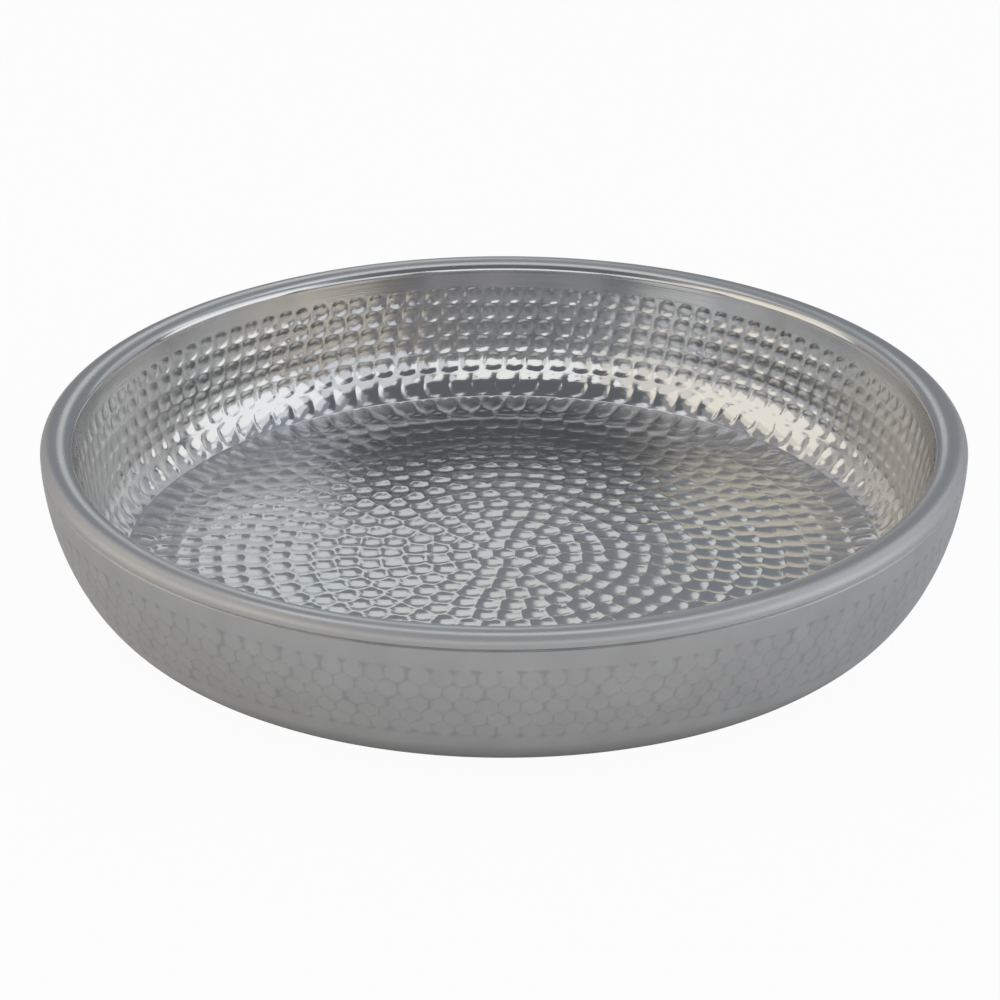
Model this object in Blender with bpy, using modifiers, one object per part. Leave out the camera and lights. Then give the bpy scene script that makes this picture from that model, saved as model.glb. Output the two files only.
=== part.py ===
"""Round double-walled serving tray: a polished liner and a satin shell, rolled together at the rim.

Each shell is an even sheet. Its section is one line, given a thickness and turned about Z.
Lengths are in metres and angles in degrees. The tray stands on z = 0 with its axis on Z.
"""

import math

import bpy

# The whole tray
OUTER_RADIUS = 0.203
HEIGHT = 0.072

# The rim: a bull-nose of half an ellipse, whose polished lip stops a little way down the outside
RIM_WIDTH = 0.0142
RIM_RISE = 0.0045
LIP_SKIRT = 0.001

# Both shells are pressed from sheet of this thickness
SHEET = 0.0008

# The rolled seam: the shell's edge is set in by a joggle and follows the lip round on the inside
FIT_GAP = 0.0003
JOGGLE_RISE = 0.001
HEM_SWEEP = 115.0

# The outer wall: a superellipse that flares from the foot to the rim
WALL_FLARE = 0.0354
WALL_FULLNESS = 1.8

# The base: a flat ring to stand on, round a panel that is pressed up clear of the table
FOOT_WIDTH = 0.012
BASE_RECESS = 0.0015
STEP_RUN = 0.003

# The liner: a flat floor, held off the shell by the air space, a slope up to a crease, a fillet and a leaning wall
FLOOR_GAP = 0.0051
FLOOR_INSET = 0.0328
SLOPE_RUN = 0.0125
SLOPE_RISE = 0.0023
FILLET_STEEPNESS = 38.0
FILLET_RISE = 0.0235
WALL_LEAN = 12.0

# The plug in the vent hole: a head outside the base, and an upset end inside it
VENT_RADIUS = 0.003
PLUG_STANDOFF = 0.0004
PLUG_HEAD_OVERLAP = 0.0025
PLUG_UPSET_OVERLAP = 0.0012
PLUG_UPSET_HEIGHT = 0.001
PLUG_ROUND = 0.0003

# How finely the round pieces are divided
TURN_STEPS = 64
PLUG_STEPS = 32
RIM_SEGMENTS = 12
HEM_SEGMENTS = 8
WALL_SEGMENTS = 8
FILLET_SEGMENTS = 8
ROUND_SEGMENTS = 2
SHARP_ANGLE = 35.0

# Sizes that follow from those above
INNER_RADIUS = OUTER_RADIUS - RIM_WIDTH
CREST_RADIUS = OUTER_RADIUS - RIM_WIDTH / 2
RIM_BASE = HEIGHT - RIM_RISE
LIP_EDGE = RIM_BASE - LIP_SKIRT
HEM_START = LIP_EDGE - FIT_GAP
JOGGLE_START = HEM_START - JOGGLE_RISE
BASE_RADIUS = OUTER_RADIUS - WALL_FLARE
PANEL_TOP = BASE_RECESS + SHEET
FLOOR_HEIGHT = PANEL_TOP + FLOOR_GAP + SHEET
FLOOR_RADIUS = INNER_RADIUS - FLOOR_INSET
WALL_FOOT_HEIGHT = FLOOR_HEIGHT + SLOPE_RISE + FILLET_RISE
WALL_FOOT_RADIUS = INNER_RADIUS - (RIM_BASE - WALL_FOOT_HEIGHT) * math.tan(math.radians(WALL_LEAN))


def arc(centre, radii, start, end, segments):
    """Points (radius, height) along an ellipse. Angle 0 points away from the axis and 90 points up."""
    points = []
    for step in range(segments + 1):
        angle = math.radians(start + (end - start) * step / segments)
        points.append((centre[0] + radii[0] * math.cos(angle), centre[1] + radii[1] * math.sin(angle)))
    return points


def bend(start, start_angle, end, end_angle, segments):
    """Points along the parabola between two points that leaves each at its own angle above level."""
    out = (math.cos(math.radians(start_angle)), math.sin(math.radians(start_angle)))
    home = (math.cos(math.radians(end_angle)), math.sin(math.radians(end_angle)))
    run = end[0] - start[0]
    rise = end[1] - start[1]
    reach = (run * home[1] - rise * home[0]) / (out[0] * home[1] - out[1] * home[0])
    corner = (start[0] + reach * out[0], start[1] + reach * out[1])
    points = []
    for step in range(segments + 1):
        part = step / segments
        shares = ((1 - part) ** 2, 2 * part * (1 - part), part ** 2)
        radius = shares[0] * start[0] + shares[1] * corner[0] + shares[2] * end[0]
        height = shares[0] * start[1] + shares[1] * corner[1] + shares[2] * end[1]
        points.append((radius, height))
    return points


def parallel(line, distance):
    """The line moved to its left by a distance, with its corners mitred. A negative distance moves it right."""
    normals = []
    for (r0, z0), (r1, z1) in zip(line, line[1:]):
        length = math.hypot(r1 - r0, z1 - z0)
        normals.append(((z0 - z1) / length, (r1 - r0) / length))
    moved = []
    for (r, z), before, after in zip(line, normals[:1] + normals, normals + normals[-1:]):
        mitre = distance / (1 + before[0] * after[0] + before[1] * after[1])
        moved.append((r + mitre * (before[0] + after[0]), z + mitre * (before[1] + after[1])))
    return moved


def wall_line():
    """The outer wall's face, a superellipse from the edge of the foot up to the joggle under the lip."""
    top = (RIM_BASE - JOGGLE_START) / RIM_BASE
    last = math.acos(top ** (WALL_FULLNESS / 2))
    points = []
    for step in range(WALL_SEGMENTS + 1):
        angle = last * step / WALL_SEGMENTS
        reach = math.sin(angle) ** (2 / WALL_FULLNESS)
        drop = math.cos(angle) ** (2 / WALL_FULLNESS)
        points.append((BASE_RADIUS + WALL_FLARE * reach, RIM_BASE * (1 - drop)))
    return points


def liner_section():
    """The liner's closed section, from the axis along its upper face, over the rim, and back underneath."""
    crease = (FLOOR_RADIUS + SLOPE_RUN, FLOOR_HEIGHT + SLOPE_RISE)
    wall_foot = (WALL_FOOT_RADIUS, WALL_FOOT_HEIGHT)
    rim_centre = (CREST_RADIUS, RIM_BASE)
    face = [(0.0, FLOOR_HEIGHT), (FLOOR_RADIUS, FLOOR_HEIGHT)]
    face += bend(crease, FILLET_STEEPNESS, wall_foot, 90 - WALL_LEAN, FILLET_SEGMENTS)
    face += arc(rim_centre, (RIM_WIDTH / 2, RIM_RISE), 180, 0, RIM_SEGMENTS)
    face += [(OUTER_RADIUS, LIP_EDGE)]
    return face + parallel(face, -SHEET)[::-1]


def shell_section():
    """The shell's closed section, from the vent along its hidden face to the hem, and back down the outside."""
    foot_inner = BASE_RADIUS - FOOT_WIDTH
    lip = [(OUTER_RADIUS, HEM_START)]
    lip += arc((CREST_RADIUS, RIM_BASE), (RIM_WIDTH / 2, RIM_RISE), 0, HEM_SWEEP, HEM_SEGMENTS)
    face = [(VENT_RADIUS, BASE_RECESS), (foot_inner - STEP_RUN, BASE_RECESS), (foot_inner, 0.0)]
    face += wall_line()
    face += parallel(lip, SHEET + FIT_GAP)
    return parallel(face, SHEET) + face[::-1]


def plug_section():
    """The plug's section, from the axis above its upset end, down the outside, to the axis under its head."""
    upset_radius = VENT_RADIUS + PLUG_UPSET_OVERLAP
    shank_radius = VENT_RADIUS - FIT_GAP
    head_radius = VENT_RADIUS + PLUG_HEAD_OVERLAP
    upset_base = PANEL_TOP + FIT_GAP
    head_top = BASE_RECESS - FIT_GAP
    return [
        (0.0, upset_base + PLUG_UPSET_HEIGHT),
        (upset_radius, upset_base + PLUG_UPSET_HEIGHT),
        (upset_radius, upset_base),
        (shank_radius, upset_base),
        (shank_radius, head_top),
        (head_radius, head_top),
        (head_radius, PLUG_STANDOFF),
        (0.0, PLUG_STANDOFF),
    ]


def metal(name, colour, roughness):
    """A bare metal finish."""
    material = bpy.data.materials.new(name)
    material.use_nodes = True
    shader = material.node_tree.nodes["Principled BSDF"]
    shader.inputs["Base Color"].default_value = (*colour, 1.0)
    shader.inputs["Metallic"].default_value = 1.0
    shader.inputs["Roughness"].default_value = roughness
    return material


def turned(name, section, closed, steps, collection, parent, material, rounding=0.0):
    """An object made by turning a section (radius, height) a full turn about Z."""
    count = len(section)
    edges = [(i, i + 1) for i in range(count - 1)]
    if closed:
        edges.append((count - 1, 0))
    profile = bpy.data.meshes.new(name)
    profile.from_pydata([(r, 0.0, z) for r, z in section], edges, [])
    piece = bpy.data.objects.new(name, profile)
    collection.objects.link(piece)
    piece.parent = parent
    screw = piece.modifiers.new("turn", "SCREW")
    screw.axis = "Z"
    screw.angle = math.tau
    screw.steps = steps
    screw.render_steps = steps
    screw.use_merge_vertices = True
    screw.merge_threshold = 0.00001
    if rounding:
        bevel = piece.modifiers.new("round", "BEVEL")
        bevel.width = rounding
        bevel.segments = ROUND_SEGMENTS
        bevel.limit_method = "ANGLE"
        bevel.angle_limit = math.radians(SHARP_ANGLE)
    evaluated = piece.evaluated_get(bpy.context.evaluated_depsgraph_get())
    body = bpy.data.meshes.new_from_object(evaluated)
    piece.modifiers.clear()
    piece.data = body
    bpy.data.meshes.remove(profile)
    body.name = name
    body.shade_smooth()
    body.set_sharp_from_angle(angle=math.radians(SHARP_ANGLE))
    body.materials.append(material)
    return piece


def main():
    for item in list(bpy.data.objects):
        bpy.data.objects.remove(item, do_unlink=True)
    collection = bpy.data.collections.new("seafood_tray")
    bpy.context.scene.collection.children.link(collection)
    tray = bpy.data.objects.new("tray_origin", None)
    collection.objects.link(tray)

    polished = metal("polished_steel", (0.61, 0.605, 0.6), 0.12)
    satin = metal("satin_steel", (0.68, 0.675, 0.67), 0.45)
    plain = metal("plain_steel", (0.56, 0.56, 0.56), 0.35)

    turned("inner_bowl", liner_section(), False, TURN_STEPS, collection, tray, polished)
    turned("outer_shell", shell_section(), True, TURN_STEPS, collection, tray, satin)
    turned("vent_plug", plug_section(), False, PLUG_STEPS, collection, tray, plain, PLUG_ROUND)


main()
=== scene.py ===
# %% [markdown]
# # A hammered serving tray with two walls
#
# The tray is two thin shells of sheet metal that are rolled together at the rim: a polished liner, which is
# hammered all over the inside, and a satin shell round it, which is hammered in a band. A small plug closes
# the vent in the middle of the base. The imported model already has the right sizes, but its sheets are
# smooth. This lesson makes each sheet again with its hammer marks as real hollows, gives it a finish, and
# lights it.

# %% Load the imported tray
import math

import bpy
import numpy as np
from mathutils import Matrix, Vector


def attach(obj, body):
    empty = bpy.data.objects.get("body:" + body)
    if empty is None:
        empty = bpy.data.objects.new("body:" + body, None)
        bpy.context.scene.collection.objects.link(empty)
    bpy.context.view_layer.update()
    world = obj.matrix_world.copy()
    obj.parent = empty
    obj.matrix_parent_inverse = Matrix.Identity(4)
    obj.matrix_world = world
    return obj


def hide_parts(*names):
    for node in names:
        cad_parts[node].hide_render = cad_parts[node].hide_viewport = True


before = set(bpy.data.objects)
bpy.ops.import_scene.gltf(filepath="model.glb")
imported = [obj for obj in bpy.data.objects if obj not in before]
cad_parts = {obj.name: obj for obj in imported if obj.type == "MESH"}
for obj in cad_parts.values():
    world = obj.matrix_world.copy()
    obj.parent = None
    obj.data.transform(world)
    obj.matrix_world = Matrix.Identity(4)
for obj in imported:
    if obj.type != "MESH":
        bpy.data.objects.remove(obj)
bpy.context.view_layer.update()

# %% [markdown]
# ## The sizes
#
# A turned piece is known once its section is known, so these are the lengths of the two sections, in
# metres. They are the same as in the solids, because each new sheet has to lie where its solid lies.

# %% Sizes of the sections
OUTER_RADIUS = 0.203
HEIGHT = 0.072
RIM_WIDTH = 0.0142
RIM_RISE = 0.0045
LIP_SKIRT = 0.001
SHEET = 0.0008
FIT_GAP = 0.0003
JOGGLE_RISE = 0.001
HEM_SWEEP = 115.0
WALL_FLARE = 0.0354
WALL_FULLNESS = 1.8
FOOT_WIDTH = 0.012
BASE_RECESS = 0.0015
STEP_RUN = 0.003
FLOOR_GAP = 0.0051
FLOOR_INSET = 0.0328
SLOPE_RUN = 0.0125
SLOPE_RISE = 0.0023
FILLET_STEEPNESS = 38.0
FILLET_RISE = 0.0235
WALL_LEAN = 12.0
VENT_RADIUS = 0.003

INNER_RADIUS = OUTER_RADIUS - RIM_WIDTH
CREST_RADIUS = OUTER_RADIUS - RIM_WIDTH / 2
RIM_BASE = HEIGHT - RIM_RISE
LIP_EDGE = RIM_BASE - LIP_SKIRT
HEM_START = LIP_EDGE - FIT_GAP
JOGGLE_START = HEM_START - JOGGLE_RISE
BASE_RADIUS = OUTER_RADIUS - WALL_FLARE
FLOOR_HEIGHT = BASE_RECESS + SHEET + FLOOR_GAP + SHEET
FLOOR_RADIUS = INNER_RADIUS - FLOOR_INSET
WALL_FOOT_HEIGHT = FLOOR_HEIGHT + SLOPE_RISE + FILLET_RISE
WALL_FOOT_RADIUS = INNER_RADIUS - (RIM_BASE - WALL_FOOT_HEIGHT) * math.tan(math.radians(WALL_LEAN))
print("rim from", INNER_RADIUS, "to", OUTER_RADIUS, "floor at", FLOOR_HEIGHT)

# %% [markdown]
# ## Lines in the section
#
# A section could be drawn as a curve object, but hammer marks need to know, at every point, how far along
# the sheet it lies and which way the sheet faces. So a section here is an array of (radius, height) points,
# close together, and a function walks along it.

# %% Straight runs, arcs and walking along them
POINT_SPACING = 0.0003
SAME_POINT = 1e-7
ARC_POINTS = 8
TURN = 2 * math.pi


def straight(start, end):
    """Evenly spaced points from start to end: start plus t times (end minus start), t from 0 to 1."""
    start, end = np.array(start), np.array(end)
    count = max(2, int(np.hypot(*(end - start)) / POINT_SPACING))
    return start + np.linspace(0, 1, count)[:, None] * (end - start)


def arc(centre, across, up, start, end):
    """Points on an ellipse: centre plus (across cos a, up sin a), with a from start to end in degrees."""
    count = max(ARC_POINTS, int(abs(math.radians(end - start)) * max(across, up) / POINT_SPACING))
    a = np.radians(np.linspace(start, end, count))
    return np.column_stack((centre[0] + across * np.cos(a), centre[1] + up * np.sin(a)))


def bend(start, start_angle, end, end_angle):
    """Points on the parabola between two points that leaves each at its own angle above level, in degrees:
    the squares of the shares 1-t and t times the ends, plus twice their product times the corner where the
    two tangents meet."""
    start, end = np.array(start), np.array(end)
    angles = math.radians(start_angle), math.radians(end_angle)
    out, home = [np.array((math.cos(a), math.sin(a))) for a in angles]
    reach = np.linalg.solve(np.column_stack((out, home)), end - start)[0]
    t = np.linspace(0, 1, int(np.hypot(*(end - start)) / POINT_SPACING))[:, None]
    return (1 - t) ** 2 * start + 2 * t * (1 - t) * (start + reach * out) + t**2 * end


def joined(*runs):
    """The runs end to end, as one line, without the points that repeat the point before."""
    line = np.vstack(runs)
    step = np.hypot(*np.diff(line, axis=0).T)
    return line[np.concatenate(([True], step > SAME_POINT))]


def left_of(line):
    """Unit normals of a line: the direction of travel turned a quarter turn left, averaged at each point."""
    step = np.diff(line, axis=0)
    left = np.column_stack((-step[:, 1], step[:, 0])) / np.hypot(step[:, 0], step[:, 1])[:, None]
    both = np.vstack((left[:1], left)) + np.vstack((left, left[-1:]))
    return both / np.hypot(both[:, 0], both[:, 1])[:, None]


def distances(line):
    """Distance along the line from its first point to each point: the running sum of the steps."""
    return np.concatenate(([0.0], np.cumsum(np.hypot(*np.diff(line, axis=0).T))))


def walk(line, place, sink):
    """Radius and height at a place along the line, moved against the left-hand normal by sink."""
    along = distances(line)
    normal = left_of(line)
    radius = np.interp(place, along, line[:, 0]) - sink * np.interp(place, along, normal[:, 0])
    height = np.interp(place, along, line[:, 1]) - sink * np.interp(place, along, normal[:, 1])
    return radius, height


print("section points every", POINT_SPACING, "m")

# %% [markdown]
# ## Rings that become a skin
#
# A turned sheet is often made with a Screw modifier, but then every ring has the same number of points, and
# the rings near the middle get crowded. Here every ring has its own points, as many as its hammer marks
# need. Two neighbouring rings are joined by going round both at once: whichever ring has the next angle
# adds a triangle.

# %% Join rings into a mesh
SHARP_ANGLE = 40.0
TIE_BREAK = 1e-9


def stitched(inner, outer, inner_first, outer_first):
    """Triangles between two rings of sorted angles. Each point, in order of angle, makes a triangle with
    the point before it on its own ring and the latest point on the other ring."""
    order = np.argsort(np.concatenate((inner, outer + TIE_BREAK)), kind="stable")
    on_outer = order >= len(inner)
    i = np.cumsum(~on_outer) - 1
    o = np.cumsum(on_outer) - 1
    before = np.where(on_outer, outer_first + (o - 1) % len(outer), inner_first + (i - 1) % len(inner))
    corners = np.column_stack((before, outer_first + o % len(outer), inner_first + i % len(inner)))
    return corners[(corners[:, 0] != corners[:, 1]) & (corners[:, 0] != corners[:, 2])]


def skin(name, rings, radius, height, closed):
    """A smooth mesh through rings of points: x = radius cos angle, y = radius sin angle, z = height. A ring
    with one point is a pole. A closed skin joins its last ring to its first."""
    first = np.concatenate(([0], np.cumsum([len(r) for r in rings])))
    pairs = [(j, j + 1) for j in range(len(rings) - 1)]
    if closed:
        pairs.append((len(rings) - 1, 0))
    faces = np.vstack([stitched(rings[a], rings[b], first[a], first[b]) for a, b in pairs])
    angle = np.concatenate(rings)
    points = np.column_stack((radius * np.cos(angle), radius * np.sin(angle), height))
    mesh = bpy.data.meshes.new(name)
    mesh.from_pydata(points, [], faces)
    mesh.shade_smooth()
    mesh.set_sharp_from_angle(angle=math.radians(SHARP_ANGLE))
    piece = bpy.data.objects.new(name, mesh)
    bpy.context.scene.collection.objects.link(piece)
    print(name, len(points), "points", len(faces), "triangles")
    return piece


def even_ring(count):
    """Angles of a ring of evenly spaced points: each point's number times a full turn over the count."""
    return np.arange(count) * TURN / count


print("neighbouring faces stay smooth up to", SHARP_ANGLE, "degrees")

# %% [markdown]
# ## Hammer marks
#
# A hammer leaves shallow hollows. On the floor they overlap, with a ridge where two meet. On the wall they
# lie apart, each with a flat bottom and a crisp edge. They could be painted on with a bump map, but the
# tray's look is nothing but reflections in these hollows, so they are real. The marks lie in rows round the
# tray. Each row has its own number of marks and starts at its own angle, as it would on a machine that
# turns the tray one row at a time, and each blow is a little off.

# %% Rows of hammer marks
# Where the mesh has its points, as shares of the way from one mark to the next
CLOSE_ACROSS = np.array((-0.5, -0.42, -0.25, -0.08, 0.08, 0.25, 0.42))
CLOSE_ALONG = np.array((-0.5, -0.42, -0.22, 0.0, 0.22, 0.42))
APART_ACROSS = np.array((-0.5, -0.445, -0.38, -0.25, 0.0, 0.25, 0.38, 0.445))
APART_ALONG = np.array((-0.5, -0.47, -0.4, -0.25, 0.0, 0.25, 0.4, 0.47))
LIGHTEST_BLOW = 0.6
HARDEST_BLOW = 1.4
RIDGE_SHARE = 0.3


class HammerRows:
    """Rows of round marks: each row's place along the section, its radius, its marks and their depth."""

    def __init__(self, place, radius, count, phase, along, across, depth, flatness, wobble, seed):
        self.place, self.radius, self.count, self.phase = place, radius, count, phase
        self.along, self.across, self.depth, self.flatness = along, across, depth, flatness
        draw = np.random.default_rng(seed)
        size = (len(place), int(count.max()))
        self.shift_along = draw.normal(0, wobble, size)
        self.shift_across = draw.normal(0, wobble, size)
        self.weight = np.clip(1 + draw.normal(0, 2 * wobble, size), LIGHTEST_BLOW, HARDEST_BLOW)

    def ring(self, row, fractions):
        """Angles of a ring of points that fits a row: the same few fractions of a mark, for every mark."""
        mark = np.arange(self.count[row])[:, None] + fractions
        return np.sort(np.mod(self.phase[row] + mark.ravel() * TURN / self.count[row], TURN))

    def hollow(self, place, radius, angle):
        """Depth of the marks at each point, and how near it is to a ridge, from 0 to 1. A mark is depth times
        (1 - q to the power flatness), where q is the squared distance from its middle over its squared half
        width. The deepest counts, and a ridge is where the two deepest are nearly alike, or where there is
        hardly any mark."""
        nearest = np.abs(place[:, None] - self.place[None, :]).argmin(axis=1)
        first = np.zeros_like(place)
        second = np.zeros_like(place)
        for row_step in (-1, 0, 1):
            for mark_step in (-1, 0, 1):
                row = np.clip(nearest + row_step, 0, len(self.place) - 1)
                turn = (angle - self.phase[row]) * self.count[row] / TURN
                mark = np.round(turn) + mark_step
                pick = (row, np.mod(mark, self.count[row]).astype(int))
                off_across = (turn - mark - self.shift_across[pick]) * TURN / self.count[row]
                off_along = place - self.place[row] - self.shift_along[pick] * self.along[row]
                q = (off_along / self.along[row]) ** 2
                q = q + 2 * radius * self.radius[row] * (1 - np.cos(off_across)) / self.across[row] ** 2
                depth = np.maximum(0, self.depth[row] * self.weight[pick] * (1 - q ** self.flatness[row]))
                fresh = (row_step == 0) | (row != nearest)
                depth = np.where(fresh, depth, 0)
                second = np.maximum(second, np.minimum(first, depth))
                first = np.maximum(first, depth)
        ridge = 1 - np.clip((first - second) / (RIDGE_SHARE * self.depth[nearest]), 0, 1)
        return first, ridge


print("a close mark has", len(CLOSE_ACROSS), "by", len(CLOSE_ALONG), "points")

# %% [markdown]
# ## The liner
#
# The liner's upper face runs from the middle of the floor up a slight slope to a crease, then up a fillet
# and a leaning wall, over the bull-nose rim and a little way down outside. The marks cover the floor in
# rings and the wall in rows. The top of the wall stays smooth, apart from a few fine lines that the
# spinning tool left below the rim.

# %% The liner's section
floor_run = straight((0, FLOOR_HEIGHT), (FLOOR_RADIUS, FLOOR_HEIGHT))
slope_run = straight(floor_run[-1], (FLOOR_RADIUS + SLOPE_RUN, FLOOR_HEIGHT + SLOPE_RISE))
fillet_run = bend(slope_run[-1], FILLET_STEEPNESS, (WALL_FOOT_RADIUS, WALL_FOOT_HEIGHT), 90 - WALL_LEAN)
wall_run = straight(fillet_run[-1], (INNER_RADIUS, RIM_BASE))
rim_run = arc((CREST_RADIUS, RIM_BASE), RIM_WIDTH / 2, RIM_RISE, 180, 0)
skirt_run = straight((OUTER_RADIUS, RIM_BASE), (OUTER_RADIUS, LIP_EDGE))
liner_line = joined(floor_run, slope_run, fillet_run, wall_run, rim_run, skirt_run)
floor_edge = distances(floor_run)[-1]
crease = distances(joined(floor_run, slope_run))[-1]
rim_start = distances(joined(floor_run, slope_run, fillet_run, wall_run))[-1]
liner_end = distances(liner_line)[-1]
print("crease at", round(crease, 4), "rim at", round(rim_start, 4), "end at", round(liner_end, 4))

# %% The liner's hammer marks
FLOOR_RINGS = 15
FLOOR_SPACING = 0.0107
FLOOR_DEPTH = 0.00064
FLOOR_FLATNESS = 1.4
OVERLAP = 0.58
# From the floor's edge upwards: one row on the slope, two on the fillet and four on the wall
STRIPS = np.array((crease - floor_edge, 0.0132, 0.0092, 0.008, 0.008, 0.008, 0.008))
SPACING = np.array((0.0108, 0.0115, 0.0107, 0.0096, 0.0096, 0.0096, 0.0096))
HALF_HEIGHT = np.array((0.0062, 0.0056, 0.0044, 0.0038, 0.0038, 0.0038, 0.0038))
HALF_WIDTH = np.array((0.0052, 0.0054, 0.0051, 0.0044, 0.0044, 0.0044, 0.0044))
STRIP_DEPTH = np.array((0.0005, 0.00062, 0.00055, 0.00027, 0.00027, 0.00027, 0.00027))
STRIP_FLATNESS = 3.0
WALL_STAGGER = np.array((0, 0.5, 0, 0.5))
ROW_SEED = 11
BLOW_SEED = 5
BLOW_WOBBLE = 0.03

floor_rows = FLOOR_RINGS + 1
floor_pitch = floor_edge / (FLOOR_RINGS + 0.5)
strip_end = floor_edge + np.cumsum(STRIPS)
row_place = np.concatenate((np.arange(floor_rows) * floor_pitch, strip_end - STRIPS / 2))
row_pitch = np.concatenate((np.full(floor_rows, floor_pitch), STRIPS))
row_radius = np.interp(row_place, distances(liner_line), liner_line[:, 0])
row_spacing = np.concatenate((np.full(floor_rows, FLOOR_SPACING), SPACING))
row_count = np.maximum(1, np.round(TURN * row_radius / row_spacing)).astype(int)
row_phase = np.random.default_rng(ROW_SEED).uniform(0, TURN, len(row_place))
row_phase[-len(WALL_STAGGER):] = row_phase[-1] + WALL_STAGGER * TURN / row_count[-1]
floor_across = OVERLAP * np.where(row_radius > 0, TURN * row_radius / row_count, floor_pitch)[:floor_rows]
liner_marks = HammerRows(
    row_place, row_radius, row_count, row_phase,
    np.concatenate((np.full(floor_rows, OVERLAP * floor_pitch), HALF_HEIGHT)),
    np.concatenate((floor_across, HALF_WIDTH)),
    np.concatenate((np.full(floor_rows, FLOOR_DEPTH), STRIP_DEPTH)),
    np.where(np.arange(len(row_place)) < floor_rows, FLOOR_FLATNESS, STRIP_FLATNESS),
    BLOW_WOBBLE, BLOW_SEED,
)
print(len(row_place), "rows with", int(row_count.sum()), "marks")

# %% The liner's rings
# Rings round the middle: the radius, as a share of the floor's pitch, and the number of points
MIDDLE_RINGS = ((0.16, 9), (0.32, 18), (0.42, 27))
RIM_POINTS = 360
RIM_RINGS = 26
BAND_LINES = 4
BAND_LINE_DEPTH = 0.00003


def liner_rings():
    """Places along the liner's face and the ring of angles at each: a few rings in the middle, rings that
    are fitted to the marks, then even rings up to the lip."""
    places, rings = [0.0], [np.zeros(1)]
    for part, count in MIDDLE_RINGS:
        places.append(part * floor_pitch)
        rings.append(even_ring(count))
    for row in range(1, len(row_place)):
        close = row < floor_rows
        for part in CLOSE_ALONG if close else APART_ALONG:
            places.append(row_place[row] + part * row_pitch[row])
            rings.append(liner_marks.ring(row, CLOSE_ACROSS if close else APART_ACROSS))
    band = np.linspace(band_start, rim_start, 2 * BAND_LINES + 1)[:-1]
    rim = np.linspace(rim_start, liner_end, RIM_RINGS)
    for place in np.concatenate((band, rim)):
        places.append(place)
        rings.append(even_ring(RIM_POINTS))
    return np.array(places), rings


band_start = strip_end[-1]
places, rings = liner_rings()
place = np.repeat(places, [len(r) for r in rings])
angle = np.concatenate(rings)
base_radius = np.interp(place, distances(liner_line), liner_line[:, 0])
hollow = liner_marks.hollow(place, base_radius, angle)[0]
in_band = np.clip((place - band_start) / (rim_start - band_start), 0, 1)
hollow = np.where(in_band > 0, 0, hollow) + BAND_LINE_DEPTH * np.sin(np.pi * BAND_LINES * in_band) ** 2
face_radius, face_height = walk(liner_line, place, hollow)
print(len(rings), "rings on the liner's face")

# %% The liner's hidden side
BACK_POINTS = 96
BACK_RIM_RINGS = 12
BACK_WALL_RINGS = 9
BACK_WALL_TOP = rim_start - 0.004
BACK_FLOOR = 0.1

back_places = np.concatenate((np.linspace(liner_end, rim_start, BACK_RIM_RINGS),
                              np.linspace(BACK_WALL_TOP, crease, BACK_WALL_RINGS),
                              [floor_edge, BACK_FLOOR, 0.0]))
back_rings = [even_ring(BACK_POINTS)] * (len(back_places) - 1) + [np.zeros(1)]
back_place = np.repeat(back_places, [len(r) for r in back_rings])
back_radius, back_height = walk(liner_line, back_place, SHEET)
back_radius = np.where(back_place == 0, 0, back_radius)
bowl = skin(
    "hammered_bowl", rings + back_rings, np.concatenate((face_radius, back_radius)),
    np.concatenate((face_height, back_height)), closed=False,
)
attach(bowl, "root")
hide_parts("inner_bowl")

# %% [markdown]
# ## The shell
#
# The shell's outer face runs from the edge that is hidden in the rim, round and down the flared wall to the
# foot, and in under the base to the vent. Its marks are fainter, and they are packed like a honeycomb in a
# band that leaves the wall plain under the lip and above the foot.

# %% The shell's section
WALL_LINE_POINTS = 400


def wall_radius(height):
    """Radius of the wall: base radius plus flare times (1 - drop^n)^(1/n), drop from 1 at the base to 0."""
    drop = (RIM_BASE - height) / RIM_BASE
    return BASE_RADIUS + WALL_FLARE * (1 - drop**WALL_FULLNESS) ** (1 / WALL_FULLNESS)


def flared_wall():
    """Points down the wall, from under the lip to the foot: the height is the joggle's times (1 - t) squared
    times (1 + 2 t), t from 0 to 1, so that the points are close at both ends."""
    t = np.linspace(0, 1, WALL_LINE_POINTS)
    height = JOGGLE_START * (1 - t) ** 2 * (1 + 2 * t)
    return np.column_stack((wall_radius(height), height))


foot_inner = BASE_RADIUS - FOOT_WIDTH
lip = joined(straight((OUTER_RADIUS, HEM_START), (OUTER_RADIUS, RIM_BASE)),
             arc((CREST_RADIUS, RIM_BASE), RIM_WIDTH / 2, RIM_RISE, 0, HEM_SWEEP))
hem = (lip + (SHEET + FIT_GAP) * left_of(lip))[::-1]
shell_wall = flared_wall()
base_run = joined(straight((BASE_RADIUS, 0), (foot_inner, 0)),
                  straight((foot_inner, 0), (foot_inner - STEP_RUN, BASE_RECESS)),
                  straight((foot_inner - STEP_RUN, BASE_RECESS), (VENT_RADIUS, BASE_RECESS)))
joggle_run = straight(hem[-1], shell_wall[0])
shell_line = joined(hem, joggle_run, shell_wall, base_run)
shell_end = distances(shell_line)[-1]
hem_end = distances(hem)[-1]
wall_top = distances(joined(hem, joggle_run))[-1]
wall_foot = distances(joined(hem, joggle_run, shell_wall))[-1]
print("wall from", round(wall_top, 4), "to", round(wall_foot, 4), "of", round(shell_end, 4))

# %% The shell's hammer marks
SHELL_ROWS = 5
SHELL_PITCH = 0.0072
SHELL_WIDTH = 0.0088
SHELL_DEPTH = 0.0002
SHELL_OVERLAP = 0.55
SHELL_WOBBLE = 0.06
SHELL_SEED = 8
BAND_TOP = 0.056

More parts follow.
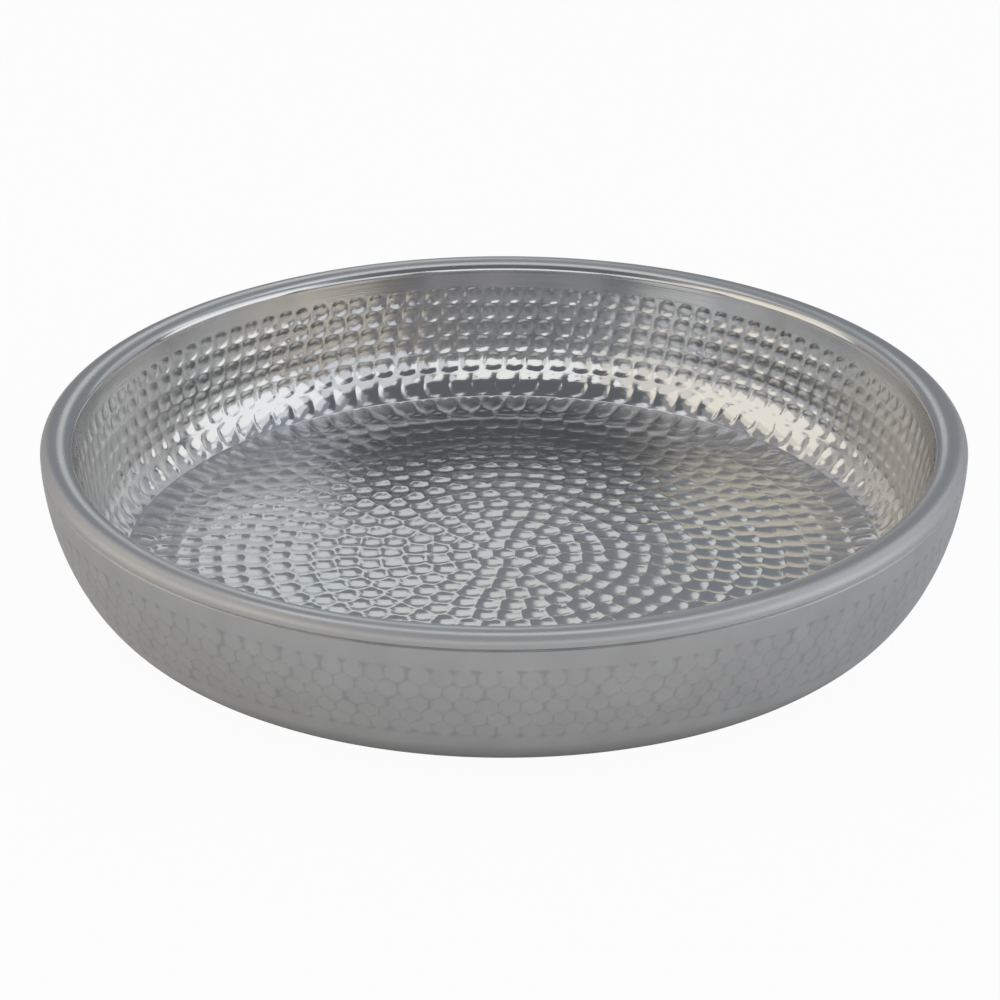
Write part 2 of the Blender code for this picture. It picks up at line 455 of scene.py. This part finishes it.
band_place = wall_top + np.interp(-BAND_TOP, -shell_wall[:, 1], distances(shell_wall))
band_end = band_place + SHELL_ROWS * SHELL_PITCH
shell_place = band_place + (np.arange(SHELL_ROWS) + 0.5) * SHELL_PITCH
shell_radius = np.interp(shell_place, distances(shell_line), shell_line[:, 0])
shell_count = np.full(SHELL_ROWS, round(TURN * shell_radius.mean() / SHELL_WIDTH))
shell_phase = (np.arange(SHELL_ROWS) % 2) * math.pi / shell_count
shell_half = np.full(SHELL_ROWS, SHELL_OVERLAP * SHELL_WIDTH)
shell_marks = HammerRows(
    shell_place, shell_radius, shell_count, shell_phase, shell_half, shell_half,
    np.full(SHELL_ROWS, SHELL_DEPTH), np.ones(SHELL_ROWS), SHELL_WOBBLE, SHELL_SEED,
)
print(SHELL_ROWS, "rows with", int(shell_count.sum()), "marks")

# %% The shell's rings
WALL_POINTS = 360
HEM_RINGS = 8
JOGGLE_RINGS = 3
TOP_RINGS = 8
LOW_RINGS = 16
FOOT_RINGS = 3
PANEL_STEPS = np.array((0.0015, 0.0034, 0.006, 0.05, 0.1))
ON_BAND = 1e-6


def shell_rings():
    """Places along the shell's face and the ring of angles at each: even rings on the hem and under the lip,
    rings that are fitted to the marks, then even rings down to the foot and in to the vent."""
    foot = wall_foot + FOOT_WIDTH
    above = np.concatenate((np.linspace(0, hem_end, HEM_RINGS)[:-1],
                            np.linspace(hem_end, wall_top, JOGGLE_RINGS)[:-1],
                            np.linspace(wall_top, band_place, TOP_RINGS)[:-1]))
    below = np.concatenate((np.linspace(band_end, wall_foot, LOW_RINGS),
                            np.linspace(wall_foot, foot, FOOT_RINGS)[1:], foot + PANEL_STEPS, [shell_end]))
    marked = [(shell_place[row] + part * SHELL_PITCH, row)
              for row in range(SHELL_ROWS) for part in CLOSE_ALONG]
    places = [(p, None) for p in above] + marked + [(p, None) for p in below]
    rings = [even_ring(WALL_POINTS) if row is None else shell_marks.ring(row, CLOSE_ACROSS)
             for p, row in places]
    return np.array([p for p, row in places]), rings


places, rings = shell_rings()
place = np.repeat(places, [len(r) for r in rings])
angle = np.concatenate(rings)
base_radius = np.interp(place, distances(shell_line), shell_line[:, 0])
hollow, ridge = shell_marks.hollow(place, base_radius, angle)
hammered = (place > band_place - ON_BAND) & (place < band_end + ON_BAND)
face_radius, face_height = walk(shell_line, place, np.where(hammered, hollow, 0))
print(len(rings), "rings on the shell's face")

# %% The shell's hidden side
BACK_PANEL = 0.2
BACK_UP_RINGS = 12
BACK_JOGGLE = wall_top - 0.0012
BACK_HEM = 0.012
BACK_HEM_RINGS = 8

back_places = np.concatenate(([shell_end, BACK_PANEL, wall_foot + FOOT_WIDTH, wall_foot],
                              np.linspace(wall_foot, wall_top, BACK_UP_RINGS)[1:], [BACK_JOGGLE],
                              np.linspace(BACK_HEM, 0, BACK_HEM_RINGS)))
back_rings = [even_ring(BACK_POINTS)] * len(back_places)
back_place = np.repeat(back_places, [len(r) for r in back_rings])
back_radius, back_height = walk(shell_line, back_place, SHEET)
shell = skin(
    "hammered_shell", rings + back_rings, np.concatenate((face_radius, back_radius)),
    np.concatenate((face_height, back_height)), closed=True,
)
ridge_value = np.concatenate((np.where(hammered, ridge, 0), np.zeros(len(back_radius)))).astype(np.float32)
shell.data.attributes.new("ridge", "FLOAT", "POINT").data.foreach_set("value", ridge_value)
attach(shell, "root")
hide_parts("outer_shell")

# %% [markdown]
# ## The vent plug
#
# The plug is turned from a rod: a domed head outside the base, a shank through the vent, and an end that is
# upset inside so that it can't fall out. It is the same kind of skin, on a section of its own.

# %% The plug
PLUG_STANDOFF = 0.0004
PLUG_HEAD_OVERLAP = 0.0025
PLUG_UPSET_OVERLAP = 0.0012
PLUG_UPSET_HEIGHT = 0.001
PLUG_ROUND = 0.0003
PLUG_POINTS = 96

head_radius = VENT_RADIUS + PLUG_HEAD_OVERLAP
upset_radius = VENT_RADIUS + PLUG_UPSET_OVERLAP
shank_radius = VENT_RADIUS - FIT_GAP
upset_base = BASE_RECESS + SHEET + FIT_GAP
upset_top = upset_base + PLUG_UPSET_HEIGHT
head_top = BASE_RECESS - FIT_GAP
plug_line = np.array((
    (0, upset_top), (upset_radius - PLUG_ROUND, upset_top), (upset_radius, upset_top - PLUG_ROUND),
    (upset_radius, upset_base), (shank_radius, upset_base), (shank_radius, head_top), (head_radius, head_top),
    (head_radius, PLUG_STANDOFF + PLUG_ROUND), (head_radius - PLUG_ROUND, PLUG_STANDOFF + PLUG_ROUND / 3),
    (head_radius / 2, PLUG_STANDOFF), (0, PLUG_STANDOFF),
))
plug_rings = [np.zeros(1)] + [even_ring(PLUG_POINTS)] * (len(plug_line) - 2) + [np.zeros(1)]
plug_radius, plug_height = np.repeat(plug_line, [len(r) for r in plug_rings], axis=0).T
plug = skin("turned_plug", plug_rings, plug_radius, plug_height, closed=False)
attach(plug, "root")
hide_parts("vent_plug")

# %% [markdown]
# ## Finishes
#
# All three finishes are bare metal, so they differ in how rough they are and in the fine marks of the
# tools. A picture could give those marks, but noise that is stretched round the tray's axis does it at any
# distance. Radius, angle and height come from the object's own coordinates.

# %% Helpers for finishes
# The ranges of noise, which keeps close to 0.5, that a finish spreads between its two ends
WIDE_NOISE = (0.3, 0.7)
NARROW_NOISE = (0.35, 0.65)


class Finish:
    """A node material in the making. add() makes a node, and sets or links its inputs by name or number."""

    def __init__(self, name):
        self.material = bpy.data.materials.new(name)
        self.material.use_nodes = True
        self.tree = self.material.node_tree
        self.shader = self.tree.nodes["Principled BSDF"]

    def link(self, node, key, value):
        """Link a socket to a node's input, or set the input to a plain value."""
        if isinstance(value, bpy.types.NodeSocket):
            self.tree.links.new(value, node.inputs[key])
        else:
            node.inputs[key].default_value = value

    def add(self, kind, inputs=(), output=0, **settings):
        """A new node's output, once its settings are made and its inputs are set or linked."""
        node = self.tree.nodes.new(kind)
        for key, value in settings.items():
            setattr(node, key, value)
        for key, value in dict(inputs).items():
            self.link(node, key, value)
        return node.outputs[output]

    def math(self, operation, a, b=0.0):
        """The result of one sum on a and b."""
        return self.add("ShaderNodeMath", {0: a, 1: b}, operation=operation)

    def lathe(self):
        """Radius, angle and height of each point, from the object's own coordinates."""
        place = self.add("ShaderNodeTexCoord", output="Object")
        x, y, z = self.add("ShaderNodeSeparateXYZ", {0: place}).node.outputs
        radius = self.math("SQRT", self.math("ADD", self.math("MULTIPLY", x, x), self.math("MULTIPLY", y, y)))
        return radius, self.math("ARCTAN2", y, x), z

    def turned(self, fine, round_about):
        """Coordinates that follow the lathe: radius and height times fine, angle times round_about."""
        radius, angle, height = self.lathe()
        return self.add("ShaderNodeCombineXYZ", {
            0: self.math("MULTIPLY", radius, fine), 1: self.math("MULTIPLY", angle, round_about),
            2: self.math("MULTIPLY", height, fine),
        })

    def noise(self, vector, scale, detail):
        """Cloudy noise, about 0.5, with this many patches to a unit of the vector."""
        return self.add("ShaderNodeTexNoise", {"Vector": vector, "Scale": scale, "Detail": detail})

    def spread(self, value, low, high, start=0.0, end=1.0):
        """Value from start..end mapped to low..high."""
        return self.add("ShaderNodeMapRange", {0: value, 1: start, 2: end, 3: low, 4: high})

    def blend(self, share, a, b):
        """Colour a times (1 - share) plus colour b times share."""
        node = self.tree.nodes.new("ShaderNodeMix")
        node.data_type = "RGBA"
        self.link(node, "Factor", share)
        for key, colour in (("A", a), ("B", b)):
            socket = [s for s in node.inputs if s.name == key and s.type == "RGBA"][0]
            if isinstance(colour, bpy.types.NodeSocket):
                self.tree.links.new(colour, socket)
            else:
                socket.default_value = (*colour, 1)
        return [s for s in node.outputs if s.type == "RGBA"][0]


print("finishes are ready to make")

# %% [markdown]
# ## The polished liner
#
# The liner is polished like a mirror, with a little haze and fine lines from the lathe. The crest of the
# rim is buffed less, and its outer shoulder is satin like the shell below it. Two materials could meet
# there, but one material whose roughness and colour follow the radius has no hard edge.

# %% The polished finish
LATHE_FINE = 1400
LATHE_ROUND = 2.5
LATHE_BUMP = 0.05
LATHE_DEPTH = 0.0004
HAZE_SCALE = 22
TINT_SCALE = 9
COOL_STEEL = (0.595, 0.60, 0.605)
WARM_STEEL = (0.615, 0.605, 0.59)
SHOULDER_STEEL = (0.57, 0.565, 0.565)
CLEAR_ROUGHNESS = 0.1
HAZY_ROUGHNESS = 0.17
CREST_ROUGHNESS = 0.16
CREST_FROM = INNER_RADIUS
CREST_TO = INNER_RADIUS + RIM_WIDTH / 4
SATIN_FROM = OUTER_RADIUS - 0.0034
SATIN_TO = OUTER_RADIUS - 0.0018
SATIN_ROUGHNESS = 0.26

polished = Finish("polished_steel")
place_socket = polished.add("ShaderNodeTexCoord", output="Object")
lines = polished.noise(polished.turned(LATHE_FINE, LATHE_ROUND), scale=1.0, detail=3)
haze = polished.noise(place_socket, HAZE_SCALE, detail=4)
tint = polished.noise(place_socket, TINT_SCALE, detail=2)
bright = polished.blend(polished.spread(tint, 0, 1, *NARROW_NOISE), COOL_STEEL, WARM_STEEL)
radius = polished.lathe()[0]
crest = polished.spread(radius, 0, CREST_ROUGHNESS, CREST_FROM, CREST_TO)
shoulder = polished.spread(radius, 0, 1, SATIN_FROM, SATIN_TO)
polished.link(polished.shader, "Base Color", polished.blend(shoulder, bright, SHOULDER_STEEL))
hazy = polished.spread(haze, CLEAR_ROUGHNESS, HAZY_ROUGHNESS, *WIDE_NOISE)
buffed = polished.math("ADD", hazy, crest)
rough = polished.math("ADD", buffed, polished.math("MULTIPLY", shoulder, SATIN_ROUGHNESS))
polished.link(polished.shader, "Roughness", rough)
polished.link(polished.shader, "Normal", polished.add(
    "ShaderNodeBump", {"Strength": LATHE_BUMP, "Distance": LATHE_DEPTH, "Height": lines}))
polished.shader.inputs["Metallic"].default_value = 1.0
bowl.data.materials.append(polished.material)
print("polished finish on", bowl.name)

# %% [markdown]
# ## The satin shell
#
# The shell is blasted to a satin, so it has no clear reflections, and the ridges between its marks show as
# darker outlines. Painted shade near the foot makes it darker there, where the floor close under it lies in
# shadow. The outlines could be drawn from a picture, but the mesh already knows how near each point is to a
# ridge, so the finish reads that as an attribute.

# %% The satin finish
GRAIN_FINE = 2600
GRAIN_ROUND = 40
GRAIN_BUMP = 0.12
GRAIN_DEPTH = 0.0004
MOTTLE_SCALE = 60
DULL_SATIN = (0.52, 0.515, 0.515)
BRIGHT_SATIN = (0.585, 0.58, 0.58)
RIDGE_COLOUR = (0.33, 0.325, 0.325)
RIDGE_STRENGTH = 0.48
# Painted shade at the foot: the colour that the shell darkens to at the floor, and the height where it starts
FOOT_SHADE_COLOUR = (0.26, 0.257, 0.255)
FOOT_SHADE_HEIGHT = 0.015
SMOOTH_SATIN = 0.42
COARSE_SATIN = 0.54

satin = Finish("satin_steel")
place_socket = satin.add("ShaderNodeTexCoord", output="Object")
grain = satin.noise(satin.turned(GRAIN_FINE, GRAIN_ROUND), scale=1.0, detail=3)
mottle = satin.noise(place_socket, MOTTLE_SCALE, detail=4)
edge = satin.add("ShaderNodeAttribute", output="Fac", attribute_name="ridge")
plain = satin.blend(satin.spread(mottle, 0, 1, *WIDE_NOISE), DULL_SATIN, BRIGHT_SATIN)
outlined = satin.blend(satin.math("MULTIPLY", edge, RIDGE_STRENGTH), plain, RIDGE_COLOUR)
# Painted shade: the base colour darkens towards the foot, from the shade height down to the floor
foot_shade = satin.spread(satin.lathe()[2], 1, 0, 0.0, FOOT_SHADE_HEIGHT)
satin.link(satin.shader, "Base Color", satin.blend(foot_shade, outlined, FOOT_SHADE_COLOUR))
satin.link(satin.shader, "Roughness", satin.spread(mottle, SMOOTH_SATIN, COARSE_SATIN, *WIDE_NOISE))
satin.link(satin.shader, "Normal", satin.add(
    "ShaderNodeBump", {"Strength": GRAIN_BUMP, "Distance": GRAIN_DEPTH, "Height": grain}))
satin.shader.inputs["Metallic"].default_value = 1.0
shell.data.materials.append(satin.material)
print("satin finish on", shell.name)

# %% [markdown]
# ## The turned plug
#
# The plug keeps the rings that the turning tool left. They are too fine to be worth a mesh, so noise that
# changes quickly with the radius and slowly with the angle gives them to the colour, the roughness and the
# bump.

# %% The plug's finish
TOOL_FINE = 5000
TOOL_ROUND = 1.0
TOOL_BUMP = 0.15
TOOL_DEPTH = 0.0002
DARK_STEEL = (0.5, 0.5, 0.5)
LIGHT_STEEL = (0.62, 0.62, 0.61)
SMOOTH_TURNED = 0.28
COARSE_TURNED = 0.42

turned_finish = Finish("plain_steel")
tool_lines = turned_finish.noise(turned_finish.turned(TOOL_FINE, TOOL_ROUND), scale=1.0, detail=2)
turned_finish.link(turned_finish.shader, "Base Color", turned_finish.blend(
    turned_finish.spread(tool_lines, 0, 1, *NARROW_NOISE), DARK_STEEL, LIGHT_STEEL))
turned_finish.link(turned_finish.shader, "Roughness", turned_finish.spread(
    tool_lines, SMOOTH_TURNED, COARSE_TURNED, *WIDE_NOISE))
turned_finish.link(turned_finish.shader, "Normal", turned_finish.add(
    "ShaderNodeBump", {"Strength": TOOL_BUMP, "Distance": TOOL_DEPTH, "Height": tool_lines}))
turned_finish.shader.inputs["Metallic"].default_value = 1.0
plug.data.materials.append(turned_finish.material)
print("plain finish on", plug.name)

# %% [markdown]
# ## The floor
#
# Bright metal is drawn by what it reflects, so the studio matters as much as the finish. The floor is pale
# paper that keeps the tray's shadow. More light would make it white in the picture, but would bleach the
# tray as well, so the paper glows for the camera's own rays instead. In the metal it glows only a little,
# because the tray's foot should mirror its own shadow there.

# %% The floor
FLOOR_DROP = 0.0003
FLOOR_SIZE = 6.0
SEEN_WHITE = 0.96
MIRRORED_WHITE = 0.15
PAPER_COLOUR = (0.8, 0.8, 0.8, 1)
PAPER_ROUGHNESS = 0.9

side = FLOOR_SIZE / 2
floor_mesh = bpy.data.meshes.new("studio_floor")
floor_mesh.from_pydata([(-side, -side, -FLOOR_DROP), (side, -side, -FLOOR_DROP), (side, side, -FLOOR_DROP),
                        (-side, side, -FLOOR_DROP)], [], [(0, 1, 2, 3)])
studio_floor = bpy.data.objects.new("studio_floor", floor_mesh)
bpy.context.scene.collection.objects.link(studio_floor)
paper = Finish("studio_paper")
paper.shader.inputs["Base Color"].default_value = PAPER_COLOUR
paper.shader.inputs["Roughness"].default_value = PAPER_ROUGHNESS
glow = paper.add("ShaderNodeEmission", {"Color": (1, 1, 1, 1), "Strength": 1.0})
ray_kind = paper.add("ShaderNodeLightPath").node.outputs
mirrored = paper.math("MAXIMUM", ray_kind["Is Glossy Ray"], ray_kind["Is Transmission Ray"])
shown = paper.math("ADD", paper.math("MULTIPLY", ray_kind["Is Camera Ray"], SEEN_WHITE),
                   paper.math("MULTIPLY", mirrored, MIRRORED_WHITE))
mixed = paper.add("ShaderNodeMixShader", {0: shown, 1: paper.shader.outputs[0], 2: glow})
paper.tree.links.new(mixed, paper.tree.nodes["Material Output"].inputs[0])
floor_mesh.materials.append(paper.material)
print("floor", FLOOR_SIZE, "m wide")

# %% [markdown]
# ## The room
#
# Round the tray is a dim bluish room, which fills the gaps between the lamps in its reflections. A white
# world would do for the background, but then the polished liner would mirror white from all sides and lose
# its hammer marks. So the world is white for the camera's rays and stays dim for the metal.

# %% The room
ROOM_COLOUR = (0.165, 0.175, 0.195, 1)

world = bpy.data.worlds.new("studio_room")
world.use_nodes = True
bpy.context.scene.world = world
room = world.node_tree
room_light = room.nodes["Background"]
room_light.inputs["Color"].default_value = ROOM_COLOUR
backdrop = room.nodes.new("ShaderNodeBackground")
backdrop.inputs["Color"].default_value = (1, 1, 1, 1)
ray = room.nodes.new("ShaderNodeLightPath")
choose = room.nodes.new("ShaderNodeMixShader")
room.links.new(ray.outputs["Is Camera Ray"], choose.inputs[0])
room.links.new(room_light.outputs[0], choose.inputs[1])
room.links.new(backdrop.outputs[0], choose.inputs[2])
room.links.new(choose.outputs[0], room.nodes["World Output"].inputs[0])
print("room colour", ROOM_COLOUR)

# %% [markdown]
# ## Soft boxes
#
# Each band of light in the liner is a soft box. A lamp could be placed by hand, but in polished metal only
# the directions that it covers matter, so each box is given as a range of angles seen from the tray. The
# box over the camera draws the bright strip on the far wall, those at the sides draw the two highlights in
# the fillet, and the narrow one behind lights the left half of the floor.

# %% Soft boxes
AIM = (0.0, 0.0, 0.04)
LAMP_DISTANCE = 2.2


def softbox(name, left, right, low, high, strength, colour):
    """A rectangular lamp that faces the tray and covers, as seen from there, the azimuths from left to right
    and the elevations from low to high, in degrees. Azimuth 0 is over the camera, and it grows towards the
    right of the picture."""
    a, e = math.radians((left + right) / 2), math.radians((low + high) / 2)
    width = 2 * LAMP_DISTANCE * math.tan(math.radians((right - left) / 2)) * math.cos(e)
    height = 2 * LAMP_DISTANCE * math.tan(math.radians((high - low) / 2))
    lamp = bpy.data.lights.new(name, "AREA")
    lamp.shape = "RECTANGLE"
    lamp.size, lamp.size_y = width, height
    lamp.energy = strength * width * height * math.pi
    lamp.color = colour
    holder = bpy.data.objects.new(name, lamp)
    back = np.array((math.sin(a) * math.cos(e), -math.cos(a) * math.cos(e), math.sin(e)))
    holder.location = np.array(AIM) + LAMP_DISTANCE * back
    holder.rotation_euler = Vector(back).to_track_quat("Z", "Y").to_euler()
    bpy.context.scene.collection.objects.link(holder)
    print(name, "at", [round(x, 3) for x in holder.location])


softbox("front_box", -28, 22, 16, 40, 1.14, (0.99, 1.0, 0.98))
softbox("front_low_box", -28, 22, 2, 13, 0.18, (1.0, 0.95, 1.0))
softbox("front_left_box", -62, -30, 8, 38, 0.85, (1.0, 0.97, 0.89))
softbox("front_right_box", 26, 60, 8, 38, 0.81, (0.95, 0.98, 1.0))
softbox("left_box", -112, -64, 4, 38, 1.08, (1.0, 0.94, 0.82))
softbox("right_box", 62, 108, 4, 38, 1.16, (0.99, 1.0, 1.0))
softbox("left_upper_box", -125, -60, 38, 52, 0.86, (1.0, 0.94, 0.78))
softbox("right_upper_box", 60, 125, 38, 52, 0.85, (0.94, 0.97, 1.0))
softbox("high_left_box", -150, -60, 52, 68, 0.23, (1.0, 0.96, 0.92))
softbox("high_right_box", 60, 150, 52, 68, 0.25, (0.8, 0.89, 1.0))
softbox("back_left_box", -147, -114, 6, 46, 0.3, (1.0, 0.9, 0.82))
softbox("back_box", -182, -169, 18, 37, 0.6, (0.97, 1.0, 0.95))
softbox("back_right_box", 114, 148, 8, 46, 0.36, (0.94, 0.95, 1.0))
softbox("back_fill_box", 136, 226, 4, 62, 0.14, (0.86, 0.93, 1.0))
softbox("top_box", 120, 240, 64, 86, 0.77, (0.99, 0.99, 1.0))

# %% [markdown]
# ## The camera
#
# The camera stands where the photographer stood: far off, with a long lens, looking down at the rim. It
# could be set by eye, but a round rim fixes it: the width of its outline gives the distance, and how flat
# it looks gives the height. Small turns put the middle of the rim at its place in the picture.

# %% The camera
FOCAL_PIXELS = 3693.0
PICTURE_PIXELS = 1000.0
VIEW_DISTANCE = 1.624
VIEW_ELEVATION = 24.301
RIM_CENTRE_PIXEL = (504.4, 423.1)
SENSOR_WIDTH = 36.0
FARTHEST_SEEN = 50.0

camera = bpy.data.cameras.new("photo_camera")
camera.sensor_width = SENSOR_WIDTH
camera.lens = SENSOR_WIDTH * FOCAL_PIXELS / PICTURE_PIXELS
camera.clip_end = FARTHEST_SEEN
photo_camera = bpy.data.objects.new("photo_camera", camera)
elevation = math.radians(VIEW_ELEVATION)
photo_camera.location = (0, -VIEW_DISTANCE * math.cos(elevation),
                         HEIGHT + VIEW_DISTANCE * math.sin(elevation))
pitch = math.atan((PICTURE_PIXELS / 2 - RIM_CENTRE_PIXEL[1]) / FOCAL_PIXELS)
yaw = math.atan((RIM_CENTRE_PIXEL[0] - PICTURE_PIXELS / 2) / FOCAL_PIXELS)
photo_camera.rotation_euler = (math.pi / 2 - elevation - pitch, 0, yaw)
bpy.context.scene.collection.objects.link(photo_camera)
bpy.context.scene.camera = photo_camera
bpy.context.scene.view_settings.view_transform = "Standard"
print("camera at", [round(x, 3) for x in photo_camera.location], "lens", round(camera.lens, 1))
